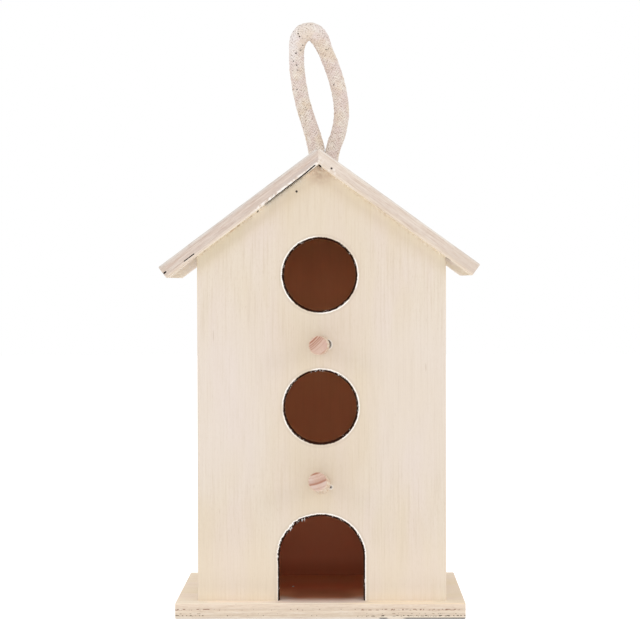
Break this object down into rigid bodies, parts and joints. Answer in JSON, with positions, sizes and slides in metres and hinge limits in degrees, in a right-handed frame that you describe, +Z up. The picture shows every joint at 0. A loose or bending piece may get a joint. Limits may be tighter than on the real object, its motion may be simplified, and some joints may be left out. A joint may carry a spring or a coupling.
{
  "type": "parrot breeding box",
  "caption": "Upright plywood nest box with a gable roof, round entrances over dowel perches, an arched doorway, an overhanging base and a braided rope hanging loop.",
  "frame": {"origin": "on the base board's underside, below the middle of the base and of the walls to within 0.5 mm", "axes": "+Z up, the front with its openings faces -Y, +X to the right of someone who looks at the front"},
  "size_m": [0.1614, 0.1364, 0.3061],
  "materials": {
    "plywood": "unfinished pale plywood, fine straight grain, ply layers on the edges",
    "dowel": "sanded softwood dowel, growth rings on the end",
    "cotton_rope": "natural braided cotton",
    "brad_steel": "dull bright wire"
  },
  "bodies": {
    "box": {"base_board": "plywood", "front_wall": "plywood", "back_wall": "plywood", "left_wall": "plywood", "right_wall": "plywood", "left_roof_board": "plywood", "right_roof_board": "plywood", "upper_perch": "dowel", "lower_perch": "dowel", "rope_legs": "cotton_rope", "rope_knot": "cotton_rope", "rope_tails": "cotton_rope", "roof_brads": "brad_steel", "back_brads": "brad_steel", "base_brads": "brad_steel"},
    "loop": {"rope_loop": "cotton_rope"}
  },
  "joints": [
    {"name": "loop_flop", "type": "hinge", "parent": "box", "child": "loop", "pos_m": [0.002, -0.002, 0.2398], "axis": [1, 0, 0], "range_deg": [-80, 80]}
  ]
}
